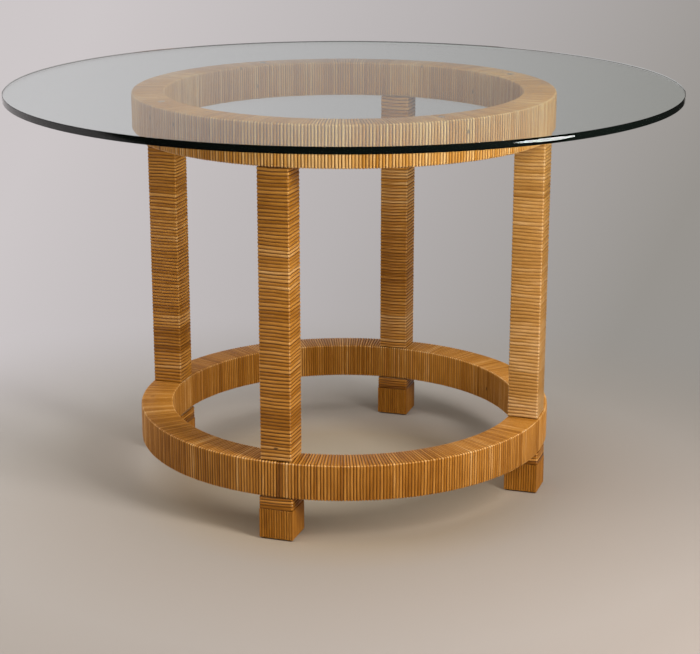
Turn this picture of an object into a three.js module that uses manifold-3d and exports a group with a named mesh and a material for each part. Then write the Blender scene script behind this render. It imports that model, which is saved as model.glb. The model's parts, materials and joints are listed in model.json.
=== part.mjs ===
// A round glass-topped table. Its base is two level rings of hardwood on four square posts, with short feet
// below, and every piece of the base is wound or faced with rattan reed. The glass lies loose on four clear
// pads. Millimetres, +Z up, the origin on the floor under the table's centre, a post on each of X and Y.
import * as THREE from "three";
import { mergeVertices } from "three/addons/utils/BufferGeometryUtils.js";
import Module from "manifold-3d";

const wasm = await Module();
wasm.setup();

// Glass
const glassDiameter = 1219;
const glassThickness = 12;
const glassArris = 1.2; // the polished chamfer along both edges

// Base, sizes taken over the reed
const baseDiameter = 767;
const baseHeight = 721; // floor to the top of the upper ring
const ringHeight = 66;
const ringBand = 60; // a ring's width from its outer to its inner face
const postWidth = 57;
const postInset = 2; // from the band's middle inwards, which keeps a post's corners within the ring
const footWidth = 62; // over a foot's upright reed, and over the level reed of its neck
const footHeight = 53;
const neckHeight = 23; // the stretch of level reed between a foot and the lower ring

// Reed
const reedWidth = 5.6;
const footReedWidth = 4.6; // the finer reed that the feet are faced with
const reedThickness = 2.6;
const reedCrown = 1.2; // how far a reed's rounded middle stands above its edges
const reedsPerRingRidge = 4; // each modelled ridge on a ring stands for this many turns of reed
const reedsPerPostRidge = 3; // and each on a post for this many
const neckReedGap = 0.5; // between two turns on a neck
const neckReedCorner = 3; // the bevel on a neck's corners, which the reed bends round

// Joinery and fittings
const clearance = 0.3; // between any two pieces that touch
const lapLength = 60; // the half-lap that joins a ring's quarter segments, along the ring
const tenonDiameter = 26;
const tenonLength = 36;
const boltDiameter = 10;
const boltInPost = 48; // how far a foot bolt reaches into its post
const boltHeadWidth = 16; // across the flats
const boltHeadHeight = 6.4;
const boltPocketDiameter = 30;
const boltPocketDepth = 14;
const washerDiameter = 20;
const washerThickness = 2;
const glideDiameter = 40;
const glideThickness = 2;
const padDiameter = 12;
const padThickness = 1.6;
const overrun = 5; // how far a cutting shape runs past what it cuts

// Facets of round shapes
const glassFacets = 96;
const ringFacets = 64;
const tenonFacets = 16;
const boltFacets = 12;
const discFacets = 16;
const hexagon = 6;
const wedgeSteps = 12;

// Worked out from the sizes above
const ringRadius = baseDiameter / 2;
const ringInnerRadius = ringRadius - ringBand;
const bandRadius = ringRadius - ringBand / 2; // the middle of the band
const postRadius = bandRadius - postInset;
const footTop = glideThickness + footHeight;
const lowerRingBottom = footTop + neckHeight;
const lowerRingTop = lowerRingBottom + ringHeight;
const upperRingBottom = baseHeight - ringHeight;
const glassBottom = baseHeight + clearance + padThickness + clearance;
const skin = reedThickness + clearance; // from a core's face to the outside of its reed
const postCoreWidth = postWidth - 2 * skin;
const footCoreWidth = footWidth - 2 * skin;
const ringRidgeWidth = reedWidth * reedsPerRingRidge;
const postRidgeWidth = reedWidth * reedsPerPostRidge;
const corners = 4;
const quarterTurn = Math.PI / 2;

// Materials
const material = (color, roughness, metalness = 0, more = {}) =>
  new THREE.MeshStandardMaterial({ color, roughness, metalness, ...more });
const clearGlass = material(0xcfe0da, 0.05, 0, { transparent: true, opacity: 0.35 });
const rattanReed = material(0xb9813f, 0.5);
const beechCore = material(0xc9a877, 0.7);
const zincSteel = material(0xa7abad, 0.4, 1);
const nylon = material(0x3c3733, 0.6);
const clearPad = material(0xe6e6e2, 0.3, 0, { transparent: true, opacity: 0.6 });

// A closed three.js geometry as a solid that can be joined and cut.
function solidOf(geometry) {
  const plain = new THREE.BufferGeometry();
  plain.setAttribute("position", geometry.getAttribute("position"));
  plain.setIndex(geometry.index);
  const merged = mergeVertices(plain);
  const vertProperties = new Float32Array(merged.getAttribute("position").array);
  const triVerts = new Uint32Array(merged.index.array);
  return new wasm.Manifold(new wasm.Mesh({ numProp: 3, vertProperties, triVerts }));
}

// A solid back as a three.js geometry with flat faces.
function geometryOf(solid) {
  const mesh = solid.getMesh();
  const geometry = new THREE.BufferGeometry();
  geometry.setAttribute("position", new THREE.BufferAttribute(mesh.vertProperties, 3));
  geometry.setIndex(new THREE.BufferAttribute(mesh.triVerts, 1));
  const flat = geometry.toNonIndexed();
  flat.computeVertexNormals();
  return flat;
}

// Upright solids between two heights.
function cylinder(diameter, bottom, top, facets) {
  const shape = new THREE.CylinderGeometry(diameter / 2, diameter / 2, top - bottom, facets);
  shape.rotateX(quarterTurn);
  shape.translate(0, 0, (bottom + top) / 2);
  return solidOf(shape);
}

function block(width, bottom, top) {
  const shape = new THREE.BoxGeometry(width, width, top - bottom);
  shape.translate(0, 0, (bottom + top) / 2);
  return solidOf(shape);
}

function prism(outline, bottom, top) {
  const depth = top - bottom;
  const shape = new THREE.ExtrudeGeometry(new THREE.Shape(outline), { depth, bevelEnabled: false });
  shape.translate(0, 0, bottom);
  return solidOf(shape);
}

// A body of revolution about Z. The profile's points are [radius, height], and it starts and ends on the
// axis or closes on itself.
function revolve(profile, facets) {
  const points = profile.map(([radius, height]) => new THREE.Vector2(radius, height));
  const shape = new THREE.LatheGeometry(points, facets);
  shape.rotateX(quarterTurn);
  return solidOf(shape);
}

// A ring of rectangular section between two radii and two heights.
function flatRing(inner, outer, bottom, top) {
  const profile = [[inner, bottom], [outer, bottom], [outer, top], [inner, top], [inner, bottom]];
  return revolve(profile, ringFacets);
}

// A slice of pie between two angles and two heights, wide enough to hold a slice of a ring.
function wedge(start, end, bottom, top) {
  const arc = new THREE.EllipseCurve(0, 0, baseDiameter, baseDiameter, start, end);
  return prism([new THREE.Vector2(), ...arc.getPoints(wedgeSteps)], bottom, top);
}

const cutAll = (solid, cutters) => cutters.reduce((left, cutter) => left.subtract(cutter), solid);

// One copy of a cutting tool at each post, for cutting a whole ring.
function atPosts(tool) {
  const out = tool.translate([postRadius, 0, 0]);
  return Array.from({ length: corners }, (_, k) => out.rotate([0, 0, (360 / corners) * k]));
}

function surfaceSolid(positions, triangles) {
  const geometry = new THREE.BufferGeometry();
  geometry.setAttribute("position", new THREE.Float32BufferAttribute(positions, 3));
  geometry.setIndex(triangles);
  return solidOf(geometry);
}

// The skin of a winding on a square section. Each row of points runs once round the section, and rows are
// valleys and crowns by turns. The reed is one unbroken spiral that crosses three faces square and takes its
// step on the fourth, so the last corner of a row leads to the first corner one ridge further on.
const rowsPerRidge = 2;
const isCrown = (row) => row % rowsPerRidge === 1;
const pointIndex = (row, corner, rows) => {
  const turned = corner === corners ? row + rowsPerRidge : row;
  return (turned % rows) * corners + (corner % corners);
};

function windingSkin(rows, rowsJoined, pointAt) {
  const positions = [];
  for (let row = 0; row < rows; row += 1) {
    for (let corner = 0; corner < corners; corner += 1) {
      positions.push(...pointAt(row, corner));
    }
  }
  const triangles = [];
  for (let row = 0; row < rowsJoined; row += 1) {
    for (let corner = 0; corner < corners; corner += 1) {
      const near = pointIndex(row, corner, rows);
      const nearNext = pointIndex(row, corner + 1, rows);
      const far = pointIndex(row + 1, corner, rows);
      const farNext = pointIndex(row + 1, corner + 1, rows);
      triangles.push(near, nearNext, farNext, near, farNext, far);
    }
  }
  return { positions, triangles };
}

// The outside of a ring's winding, solid through. Its reed steps forward on the underside, out of sight.
function woundRing(bottom) {
  const ridges = Math.round((Math.PI * baseDiameter) / ringRidgeWidth);
  const rows = rowsPerRidge * ridges;
  const pointAt = (row, corner) => {
    const sink = isCrown(row) ? 0 : reedCrown;
    const angle = (row / rows) * 2 * Math.PI;
    const isOuter = corner >= 2;
    const isUpper = corner === 1 || corner === 2;
    const radius = isOuter ? ringRadius - sink : ringInnerRadius + sink;
    const height = isUpper ? bottom + ringHeight - sink : bottom + sink;
    return [radius * Math.cos(angle), radius * Math.sin(angle), height];
  };
  const { positions, triangles } = windingSkin(rows, rows, pointAt);
  return surfaceSolid(positions, triangles);
}

// The outside of a post's winding, solid through and trimmed level at both ends. Its reed steps up on the
// face towards the table's centre.
function woundPost(bottom, top) {
  const sparePerEnd = 2; // ridges past each end, which the trimming takes off
  const ridges = Math.ceil((top - bottom) / postRidgeWidth) + 2 * sparePerEnd;
  const rows = rowsPerRidge * ridges;
  const rowsJoined = rows - rowsPerRidge - 1;
  const heightOf = (row) => bottom + (row / rowsPerRidge - sparePerEnd) * postRidgeWidth;
  const pointAt = (row, corner) => {
    const half = postWidth / 2 - (isCrown(row) ? 0 : reedCrown);
    const x = corner === 1 || corner === 2 ? half : -half;
    const y = corner >= 2 ? half : -half;
    return [x, y, heightOf(row)];
  };
  const { positions, triangles } = windingSkin(rows, rowsJoined, pointAt);

  // Each open end is closed by a fan of triangles from a point on the axis.
  const closeEnd = (row, height, facesDown) => {
    const centre = positions.length / 3;
    positions.push(0, 0, height);
    const rim = [];
    for (let corner = 0; corner <= corners; corner += 1) {
      rim.push(pointIndex(row, corner, rows));
    }
    rim.push(pointIndex(row + 1, 0, rows));
    rim.forEach((from, i) => {
      const to = rim[(i + 1) % rim.length];
      triangles.push(centre, ...(facesDown ? [to, from] : [from, to]));
    });
  };
  closeEnd(0, heightOf(0), true);
  closeEnd(rowsJoined, heightOf(rows), false);
  const slab = block(2 * postWidth, bottom, top);
  return surfaceSolid(positions, triangles).intersect(slab);
}

// Glass disc with a flat polished edge.
function glassTop() {
  const radius = glassDiameter / 2;
  const top = glassBottom + glassThickness;
  const profile = [
    [0, glassBottom],
    [radius - glassArris, glassBottom],
    [radius, glassBottom + glassArris],
    [radius, top - glassArris],
    [radius - glassArris, top],
    [0, top],
  ];
  return revolve(profile, glassFacets);
}

// A quarter of a ring's core, half-lapped at both ends, with its post's joint in the middle.
function ringSegment(bottom, cutters) {
  const [low, high] = [bottom + skin, bottom + ringHeight - skin];
  const middle = (low + high) / 2;
  const lap = lapLength / bandRadius;
  const gap = clearance / bandRadius / 2;
  const [start, end] = [-quarterTurn / 2 - lap / 2 + gap, quarterTurn / 2 + lap / 2 - gap];
  const past = overrun / bandRadius;
  const whole = flatRing(ringInnerRadius + skin, ringRadius - skin, low, high);
  const quarter = whole.intersect(wedge(start, end, low - overrun, high + overrun));
  const upperNotch = wedge(start - past, start + lap, middle - clearance / 2, high + overrun);
  const lowerNotch = wedge(end - lap, end + past, low - overrun, middle + clearance / 2);
  const tools = cutters.map((tool) => tool.translate([postRadius, 0, 0]));
  return cutAll(quarter, [upperNotch, lowerNotch, ...tools]);
}

// A ring's reed: the winding less the space its core fills, open where tenons and bolts pass through.
function ringWrap(bottom, cutters) {
  const inside = flatRing(
    ringInnerRadius + reedThickness,
    ringRadius - reedThickness,
    bottom + reedThickness,
    bottom + ringHeight - reedThickness,
  );
  return cutAll(woundRing(bottom), [inside, ...cutters.flatMap(atPosts)]);
}

// Bores, all on a post's own axis
const tenonBore = tenonDiameter + 2 * clearance;
const boltBore = boltDiameter + 2 * clearance;
const footBottom = glideThickness + clearance;
const pocketTop = footBottom + boltPocketDepth;
const washerTop = pocketTop - clearance;
const washerBottom = washerTop - washerThickness;
const headTop = washerBottom - clearance;
const boltTop = lowerRingTop + boltInPost;
const upperTenonTop = upperRingBottom + skin + tenonLength;
const lowerTenonBottom = lowerRingTop - skin - tenonLength;
const tenonHole = (bottom, top) => cylinder(tenonBore, bottom, top, tenonFacets);
const upperTenonHole = tenonHole(upperRingBottom - overrun, upperTenonTop + clearance);
const lowerTenonHole = tenonHole(lowerTenonBottom - clearance, lowerRingTop + overrun);
const boltHole = cylinder(boltBore, -overrun, boltTop + clearance, boltFacets);

// A post's core with a round tenon turned on each end and a bore for the foot bolt.
function postCore() {
  const shaft = block(postCoreWidth, lowerRingTop + clearance, upperRingBottom - clearance);
  const tenons = cylinder(tenonDiameter, lowerTenonBottom, upperTenonTop, tenonFacets);
  return shaft.add(tenons).subtract(boltHole);
}

function sleeve(outside, coreWidth, bottom, top) {
  return outside.subtract(block(coreWidth + 2 * clearance, bottom - overrun, top + overrun));
}

function postWrap() {
  const [bottom, top] = [lowerRingTop + clearance, upperRingBottom - clearance];
  return sleeve(woundPost(bottom, top), postCoreWidth, bottom, top);
}

// One of the eight bends of a reed round a foot's core, two at each corner, at a distance out from the core.
const bendsPerTurn = 2 * corners;
function bendPoint(bend, out) {
  const half = footCoreWidth / 2 + clearance + out;
  const cut = neckReedCorner + out * (2 - Math.SQRT2);
  const along = bend % 2 ? half - cut : cut - half;
  const point = new THREE.Vector2(along, -half);
  return point.rotateAround(new THREE.Vector2(), Math.floor(bend / 2) * quarterTurn);
}

// The least distance between two turns of a wound reed, measured on points along its edges.
function leastGap(sections) {
  const pointsPerStretch = 8;
  const points = [];
  for (let i = 0; i + 1 < sections.length; i += 1) {
    for (let step = 0; step < pointsPerStretch; step += 1) {
      const share = step / pointsPerStretch;
      points.push(sections[i].map((corner, side) => corner.clone().lerp(sections[i + 1][side], share)));
    }
  }
  points.push(sections[sections.length - 1]);
  const nearlyATurn = (bendsPerTurn - 1) * pointsPerStretch;
  let least = Infinity;
  for (let i = 0; i < points.length; i += 1) {
    for (let j = i + nearlyATurn; j < points.length; j += 1) {
      for (const here of points[i]) {
        for (const there of points[j]) {
          least = Math.min(least, here.distanceTo(there));
        }
      }
    }
  }
  return least;
}

// The reed round a neck: one unbroken half-round strip that lies level on three faces and climbs to its next
// turn on the face towards the table's centre, where both its ends are.
function neckWrap() {
  const [bottom, top] = [footTop + clearance, lowerRingBottom - clearance];
  const turns = Math.max(1, Math.round((top - bottom + neckReedGap) / (reedWidth + neckReedGap)));
  const pitch = (top - bottom + neckReedGap) / turns;
  const half = (pitch - neckReedGap) / 2;
  const shoulder = reedThickness - reedCrown;
  const outline = [
    [0, -half],
    [shoulder, -half],
    [reedThickness, 0],
    [shoulder, half],
    [0, half],
  ];
  const sections = [];
  for (let i = 0; i < turns * bendsPerTurn; i += 1) {
    const level = bottom + half + Math.floor(i / bendsPerTurn) * pitch;
    const bend = (i + bendsPerTurn - 1) % bendsPerTurn;
    sections.push(
      outline.map(([out, rise]) => {
        const { x, y } = bendPoint(bend, out);
        return new THREE.Vector3(x, y, level + rise);
      }),
    );
  }
  const sides = outline.length;
  const triangles = [];
  for (let i = 0; i + 1 < sections.length; i += 1) {
    for (let side = 0; side < sides; side += 1) {
      const [near, nearNext] = [i * sides + side, i * sides + ((side + 1) % sides)];
      triangles.push(near, near + sides, nearNext + sides, near, nearNext + sides, nearNext);
    }
  }
  const last = (sections.length - 1) * sides;
  for (let side = 1; side + 1 < sides; side += 1) {
    triangles.push(0, side, side + 1, last, last + side + 1, last + side);
  }
  console.log(`Neck reed: ${turns} turns, least gap ${leastGap(sections).toFixed(2)} mm`);
  return surfaceSolid(sections.flat().flatMap((point) => point.toArray()), triangles);
}

// A foot's core: a square block that becomes the neck above, where its corners are bevelled for the reed to
// bend round. It is bored for the bolt and pocketed for its head.
function footCore() {
  const foot = block(footCoreWidth, footBottom, footTop);
  const outline = Array.from({ length: bendsPerTurn }, (_, bend) => bendPoint(bend, -clearance));
  const neck = prism(outline, footBottom, lowerRingBottom - clearance);
  const pocket = cylinder(boltPocketDiameter, footBottom - overrun, pocketTop, discFacets);
  return cutAll(foot.add(neck), [pocket, boltHole]);
}

// A foot's reeds stand upright side by side: a square sleeve with a scalloped outline, one ridge a reed.
function footWrap() {
  const inner = footWidth / 2 - reedCrown; // to the valleys between the reeds
  const reeds = Math.round(footWidth / footReedWidth);
  const outline = [];
  for (let face = 0; face < corners; face += 1) {
    for (let step = 0; step < 2 * reeds; step += 1) {
      const edge = step % 2 ? footWidth / 2 : inner;
      const point = new THREE.Vector2(edge, inner * (step / reeds - 1));
      outline.push(point.rotateAround(new THREE.Vector2(), face * quarterTurn));
    }
  }
  return sleeve(prism(outline, footBottom, footTop), footCoreWidth, footBottom, footTop);
}

// A hexagon-head bolt driven up through foot and ring into the post, with its washer.
function footBolt() {
  const acrossCorners = boltHeadWidth / Math.cos(Math.PI / hexagon);
  const head = cylinder(acrossCorners, headTop - boltHeadHeight, headTop, hexagon);
  return head.add(cylinder(boltDiameter, headTop - boltHeadHeight / 2, boltTop, boltFacets));
}

function footWasher() {
  const disc = cylinder(washerDiameter, washerBottom, washerTop, discFacets);
  return disc.subtract(boltHole);
}

const floorGlide = () => cylinder(glideDiameter, 0, glideThickness, discFacets);

const glassPad = () =>
  cylinder(padDiameter, baseHeight + clearance, baseHeight + clearance + padThickness, discFacets);

// Assembly
const table = new THREE.Group();

function addPiece(parent, name, solid, finish) {
  const piece = new THREE.Mesh(geometryOf(solid), finish);
  piece.name = name;
  parent.add(piece);
}

addPiece(table, "glass_top", glassTop(), clearGlass);
addPiece(table, "upper_ring_wrap", ringWrap(upperRingBottom, [upperTenonHole]), rattanReed);
addPiece(table, "lower_ring_wrap", ringWrap(lowerRingBottom, [lowerTenonHole, boltHole]), rattanReed);

const segments = {
  upper_ring_segment: ringSegment(upperRingBottom, [upperTenonHole]),
  lower_ring_segment: ringSegment(lowerRingBottom, [lowerTenonHole, boltHole]),
};
const postStack = {
  post_core: [postCore(), beechCore],
  post_wrap: [postWrap(), rattanReed],
  neck_wrap: [neckWrap(), rattanReed],
  foot_core: [footCore(), beechCore],
  foot_wrap: [footWrap(), rattanReed],
  foot_bolt: [footBolt(), zincSteel],
  foot_washer: [footWasher(), zincSteel],
  floor_glide: [floorGlide(), nylon],
};

for (let k = 0; k < corners; k += 1) {
  const label = k + 1;
  const quarter = new THREE.Group();
  quarter.rotation.z = k * quarterTurn;
  table.add(quarter);
  for (const [name, solid] of Object.entries(segments)) {
    addPiece(quarter, `${name}_${label}`, solid, beechCore);
  }

  const stack = new THREE.Group();
  stack.position.x = postRadius;
  quarter.add(stack);
  for (const [name, [solid, finish]] of Object.entries(postStack)) {
    addPiece(stack, `${name}_${label}`, solid, finish);
  }

  // The glass pads lie on the upper ring halfway between the posts.
  const between = new THREE.Group();
  between.rotation.z = quarterTurn / 2;
  quarter.add(between);
  const pad = new THREE.Group();
  pad.position.x = bandRadius;
  between.add(pad);
  addPiece(pad, `glass_pad_${label}`, glassPad(), clearPad);
}

export default table;
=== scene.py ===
# %% [markdown]
# # A round glass table on a reed-wound base
#
# The table is a thick disc of clear glass that lies loose on a base of two
# equal rings, four square posts and four short feet. The base is hardwood,
# and every face of it is covered with split rattan: thin half-round reeds
# laid side by side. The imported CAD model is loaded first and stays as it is.
# The glass and the reed are then modelled again in full detail round it.

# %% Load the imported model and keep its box
import json
import math
import random

import bmesh
import bpy
from mathutils import Matrix, Vector, noise


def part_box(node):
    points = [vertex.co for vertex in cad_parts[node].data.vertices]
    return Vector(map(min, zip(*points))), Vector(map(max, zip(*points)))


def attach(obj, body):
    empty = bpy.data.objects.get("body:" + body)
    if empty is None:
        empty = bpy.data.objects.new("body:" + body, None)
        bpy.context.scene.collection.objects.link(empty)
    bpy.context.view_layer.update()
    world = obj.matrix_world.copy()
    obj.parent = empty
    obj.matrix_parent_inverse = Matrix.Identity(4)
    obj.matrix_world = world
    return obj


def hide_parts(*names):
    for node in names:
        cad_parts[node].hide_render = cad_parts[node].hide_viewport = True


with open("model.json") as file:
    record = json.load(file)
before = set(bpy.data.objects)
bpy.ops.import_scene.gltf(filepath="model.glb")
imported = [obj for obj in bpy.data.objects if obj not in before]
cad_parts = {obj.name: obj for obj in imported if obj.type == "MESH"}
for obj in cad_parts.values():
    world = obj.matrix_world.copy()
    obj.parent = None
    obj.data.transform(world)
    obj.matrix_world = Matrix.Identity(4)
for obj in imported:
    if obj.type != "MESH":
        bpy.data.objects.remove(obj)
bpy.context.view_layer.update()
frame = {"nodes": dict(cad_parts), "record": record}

MM = 0.001
WELD = 0.001 * MM    # points closer together than this are one point

# %% [markdown]
# ## The camera
#
# The photograph was taken from about 3.3 m away and 1.24 m above the floor,
# a little to the right of the front post. A view camera kept its posts
# upright by a large shift. Here the camera stands in the same place and
# tilts down instead, so that other views need no shift at all. Everything
# overlaps as in the photograph, and only the uprights lean in a little.

# %% Camera
CAMERA_DISTANCE = 3.295    # metres from the table's axis
CAMERA_HEIGHT = 1.239      # metres above the floor
CAMERA_ROUND = 18.03       # degrees from the front post towards the right one
CAMERA_AIM = 17.84         # degrees, the way it looks, just past the axis
CAMERA_DOWN = 16.26        # degrees below level
LENS = 93.9                # mm, for film 36 mm wide

around = math.radians(CAMERA_ROUND)
camera = bpy.data.objects.new("camera", bpy.data.cameras.new("camera"))
bpy.context.scene.collection.objects.link(camera)
camera.location = (CAMERA_DISTANCE * math.sin(around),
                   -CAMERA_DISTANCE * math.cos(around), CAMERA_HEIGHT)
camera.rotation_euler = (math.radians(90 - CAMERA_DOWN), 0, math.radians(CAMERA_AIM))
camera.data.lens = LENS
bpy.context.scene.camera = camera
print("camera at", [round(c, 3) for c in camera.location])

# %% [markdown]
# ## Small helpers for colour, nodes and pieces
#
# Screens show sRGB colours, while a renderer works with linear light, so one
# function turns a hex colour linear. One more adds a node with its settings
# and its links, and another turns a finished bmesh into a piece of the table
# that rides on a body of the frame and stands for its CAD nodes.

# %% Colours and nodes


def linear(hex_colour):
    """An sRGB hex colour as linear red, green, blue and alpha."""
    channels = [int(hex_colour[i:i + 2], 16) / 255 for i in (1, 3, 5)]
    return [c / 12.92 if c <= 0.04045 else ((c + 0.055) / 1.055) ** 2.4
            for c in channels] + [1.0]


def put(tree, kind, inputs=(), **settings):
    """Add a node. inputs gives a socket either a value or another node's output."""
    node = tree.nodes.new("ShaderNode" + kind)
    for name, value in settings.items():
        setattr(node, name, value)
    for socket, value in dict(inputs).items():
        if isinstance(value, bpy.types.NodeSocket):
            tree.links.new(value, node.inputs[socket])
        else:
            node.inputs[socket].default_value = value
    return node


def new_material(name):
    """An empty node material and its tree."""
    material = bpy.data.materials.new(name)
    material.use_nodes = True
    material.node_tree.nodes.clear()
    return material, material.node_tree


def stops(node, *colours):
    """Give a Color Ramp its stops, each a place and a hex colour."""
    ramp = node.color_ramp
    while len(ramp.elements) < len(colours):
        ramp.elements.new(0.5)
    for element, (place, colour) in zip(ramp.elements, colours):
        element.position = place
        element.color = linear(colour)
    return node


print("middle grey, #808080, in linear light:", round(linear("#808080")[0], 3))

# %% Pieces of the table


def make_piece(bm, name, material, body, slot, *nodes):
    """Turn a bmesh into a piece that rides on a body and stands for CAD nodes."""
    mesh = bpy.data.meshes.new(name)
    bm.normal_update()
    open_edges = sum(not e.is_manifold for e in bm.edges)
    bm.to_mesh(mesh)
    bm.free()
    piece = bpy.data.objects.new(name, mesh)
    bpy.context.scene.collection.objects.link(piece)
    mesh.materials.append(material)
    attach(piece, body)
    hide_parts(*nodes)
    mesh.calc_loop_triangles()
    print(f"{name}: {len(mesh.loop_triangles)} triangles, {open_edges} open edges")
    return piece


# %% [markdown]
# ## Finish of the reed: lacquered split rattan
#
# Rattan is a climbing palm. Its outer skin is split into strips about 5.6 mm
# wide, flat behind and rounded in front, then wound damp and lacquered when
# dry. To the eye each strip is honey-coloured with fine fibres along it. The
# strips differ in tone, because each comes from another cane and runs for a
# few turns. Brown lines lie between them, old lacquer together with painted
# shade of the grooves. A strip is paler where it bends over a corner, partly
# a paler colour of its own and partly a painted highlight, and a few have a
# small dark knot.
#
# A picture could give that, but it would repeat. Here the pattern is worked
# out from the piece's own UV map: U counts the strips, so its whole part says
# which strip this is and its fraction says where across it, and V is the
# distance along the strip in metres. The rings, the necks and three posts
# share one finish. The post on the right was wound from a more even hank, and
# the painted shade between its strips is fainter, as light falls full on it.
# The feet are faced with finer, darker slats, darker partly as painted shade
# because they stand low under the ring. So these have their own.

# %% Reed colours and sizes
REED_TONES = ((0.0, "#784609"), (0.3, "#9d6215"), (0.62, "#bf8133"), (1.0, "#dfae70"))
EVEN_TONES = ((0.0, "#6f4a1c"), (0.3, "#96652a"), (0.62, "#b3803f"), (1.0, "#d6ab76"))
LACQUER_AND_SHADE_LINE = "#552b03"
REED_KNOT = "#2f1606"
REED_WIDTH = 5.6 * MM
FIBRE_SPACING = 0.45 * MM    # real fibres are finer still, and wouldn't show
FIBRES_TO_A_METRE = 60.0     # so a fibre runs on for about 17 mm
SPOTS_TO_A_METRE = 22.0      # so the tone of a strip changes in about 45 mm
print("fibres across a strip:", round(REED_WIDTH / FIBRE_SPACING))

# %% Tone of a strip
STRIPS_FROM_ONE_CANE = 7.0
DRIFT_SCALE, DRIFT = 0.13, 9.0    # the ends of the runs wander by a few strips
STRIP_APART = 3.7    # in the noise, so that two strips side by side differ
SLOW_SHARE = 0.36
FIBRE_SHARE = 0.30


def strip_tones(tree, count, along, middle, cane_share, strip_share):
    """The tone from 0, dark, to 1, pale, and the fine fibres, at a place on a strip."""
    strip = put(tree, "Math", {0: count}, operation="FLOOR").outputs[0]

    # Which cane a strip was split from: runs of about seven strips, unevenly long.
    drift = put(tree, "TexNoise", {"W": strip, "Scale": DRIFT_SCALE, "Detail": 1.0},
                noise_dimensions="1D")
    uneven = put(tree, "Math", {0: drift.outputs["Fac"], 1: DRIFT, 2: strip},
                 operation="MULTIPLY_ADD")
    run = put(tree, "Math", {0: uneven.outputs[0], 1: STRIPS_FROM_ONE_CANE}, operation="DIVIDE")
    cane = put(tree, "Math", {0: run.outputs[0]}, operation="FLOOR")
    cane_tone = put(tree, "TexWhiteNoise", {"W": cane.outputs[0]}, noise_dimensions="1D")
    strip_tone = put(tree, "TexWhiteNoise", {"W": strip}, noise_dimensions="1D")

    # Slow change of tone along a strip, and the fine fibres.
    spot = put(tree, "CombineXYZ", {0: strip, 1: along})
    slow_map = put(tree, "Mapping", {"Vector": spot.outputs[0],
                                     "Scale": (STRIP_APART, SPOTS_TO_A_METRE, 1.0)})
    slow = put(tree, "TexNoise", {"Vector": slow_map.outputs[0], "Scale": 1.0, "Detail": 2.0},
               noise_dimensions="2D")
    spot = put(tree, "CombineXYZ", {0: count, 1: along})
    fibre_map = put(tree, "Mapping", {
        "Vector": spot.outputs[0], "Scale": (REED_WIDTH / FIBRE_SPACING, FIBRES_TO_A_METRE, 1.0)})
    fibre = put(tree, "TexNoise", {"Vector": fibre_map.outputs[0], "Scale": 1.0, "Detail": 3.0,
                                   "Roughness": 0.6}, noise_dimensions="2D").outputs["Fac"]

    tone = middle - (cane_share + strip_share + SLOW_SHARE + FIBRE_SHARE) / 2
    for share, source in ((cane_share, cane_tone.outputs["Value"]),
                          (strip_share, strip_tone.outputs["Value"]),
                          (SLOW_SHARE, slow.outputs["Fac"]), (FIBRE_SHARE, fibre)):
        tone = put(tree, "Math", {0: source, 1: share, 2: tone},
                   operation="MULTIPLY_ADD").outputs[0]

    # Paler where the strip bends over a corner, partly its own colour and partly a painted
    # highlight; paler or darker from one hank of reed to another and at stains; and paler on the
    # upper ring as painted light.
    paler = put(tree, "Attribute", attribute_name="paler", attribute_type="GEOMETRY")
    tone = put(tree, "Math", {0: paler.outputs["Fac"], 1: tone}, operation="ADD")
    return strip, tone.outputs[0], fibre


# %% Knots
KNOT_CELL = 38 * MM
KNOT_CHANCE = 0.0035          # about one cell of a strip in three hundred has a knot
KNOT_OVAL = (2.4, 7.0, 1.0)   # it fades out 2.3 mm to each side and 5.4 mm along
KNOT_STRENGTH = 0.75


def knots(tree, strip, across, along):
    """How much of the knot's colour shows: a dark oval in a few cells of a strip."""
    cell = put(tree, "Math", {0: along, 1: KNOT_CELL}, operation="DIVIDE")
    cell_no = put(tree, "Math", {0: cell.outputs[0]}, operation="FLOOR")
    cell_part = put(tree, "Math", {0: cell.outputs[0]}, operation="FRACT")
    key = put(tree, "CombineXYZ", {0: strip, 1: cell_no.outputs[0]})
    chance = put(tree, "TexWhiteNoise", {"Vector": key.outputs[0]}, noise_dimensions="2D")
    chosen = put(tree, "Math", {0: chance.outputs["Value"], 1: 1 - KNOT_CHANCE},
                 operation="GREATER_THAN")
    at = put(tree, "CombineXYZ", {0: across, 1: cell_part.outputs[0]})
    far = put(tree, "VectorMath", {0: at.outputs[0], 1: (0.5, 0.5, 0.0)}, operation="SUBTRACT")
    oval = put(tree, "Mapping", {"Vector": far.outputs[0], "Scale": KNOT_OVAL})
    size = put(tree, "VectorMath", {0: oval.outputs[0]}, operation="LENGTH")
    knot = put(tree, "MapRange", {0: size.outputs["Value"], 1: 1.0, 2: 0.5,
                                  3: 0.0, 4: KNOT_STRENGTH}, interpolation_type="SMOOTHSTEP")
    return put(tree, "Math", {0: knot.outputs[0], 1: chosen.outputs[0]},
               operation="MULTIPLY").outputs[0]


# %% Lines between the strips: old lacquer and painted shade
LINE_FROM, LINE_FULL = 0.25, 0.45    # of a strip's width, from its middle


def lines(tree, count, across, faintest, deepest):
    """The brown line between two strips, old lacquer with painted shade of the groove. Some joints
    are tight and their line faint, others dark.
    """
    joint = put(tree, "Math", {0: count, 1: 0.5}, operation="ADD")
    joint = put(tree, "Math", {0: joint.outputs[0]}, operation="FLOOR")
    joint = put(tree, "TexWhiteNoise", {"W": joint.outputs[0]}, noise_dimensions="1D")
    depth = put(tree, "MapRange", {0: joint.outputs["Value"], 3: faintest, 4: deepest})
    side = put(tree, "Math", {0: across, 1: 0.5}, operation="SUBTRACT")
    side = put(tree, "Math", {0: side.outputs[0]}, operation="ABSOLUTE")
    return put(tree, "MapRange", {0: side.outputs[0], 1: LINE_FROM, 2: LINE_FULL,
                                  3: 0.0, 4: depth.outputs[0]},
               interpolation_type="SMOOTHSTEP").outputs[0]


# %% Reed materials


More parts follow.
